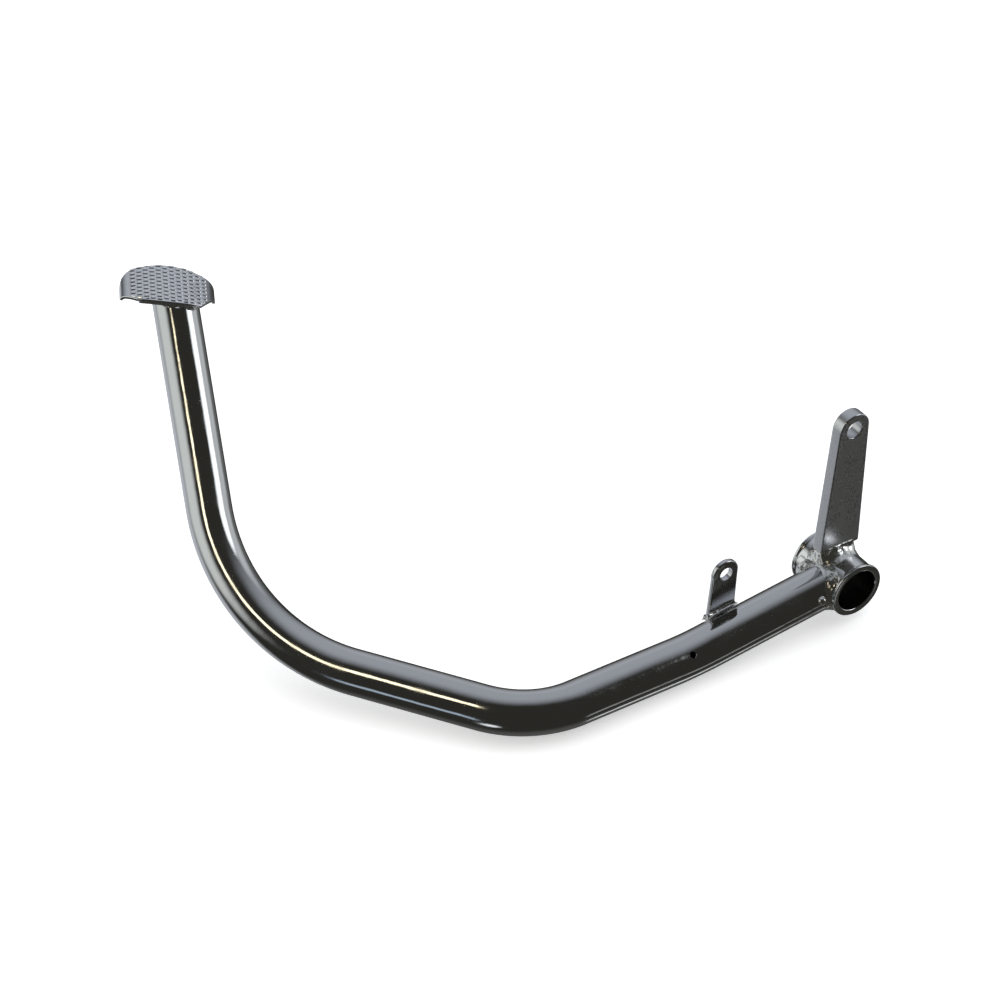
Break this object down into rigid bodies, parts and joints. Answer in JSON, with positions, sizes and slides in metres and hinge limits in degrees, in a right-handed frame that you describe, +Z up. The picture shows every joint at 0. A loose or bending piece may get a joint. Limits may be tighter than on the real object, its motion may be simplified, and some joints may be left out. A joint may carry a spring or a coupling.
{
  "type": "motorcycle brake pedal",
  "caption": "Chromed tubular foot brake pedal: pivot boss with upright brake-rod arm and spring tab, bent lever tube, and a small knurled foot pad at its outer end.",
  "frame": {"origin": "centre of the pivot bore", "axes": "the pivot bore runs along Y; the lever tube leaves the boss towards -X; +Y is the side the foot pad swings out to; +Z is up"},
  "size_m": [0.2546, 0.2515, 0.1281],
  "materials": {
    "chrome_polished": "bright decorative chrome over polished steel",
    "chrome_plate": "bright chrome over rolled and sheared steel plate, slightly hazy",
    "chrome_satin": "chrome over knurled steel sheet, satin",
    "chrome_weld": "chrome over undressed weld bead, lumpy and bright"
  },
  "bodies": {
    "root": {"pivot_boss": "chrome_polished", "lever_tube": "chrome_polished", "actuator_arm": "chrome_plate", "spring_tab": "chrome_plate", "foot_pad": "chrome_satin", "weld_tube_to_boss": "chrome_weld", "weld_arm_to_boss": "chrome_weld", "weld_pad_to_tube": "chrome_weld", "weld_tab_front": "chrome_weld", "weld_tab_rear": "chrome_weld"}
  },
  "joints": []
}
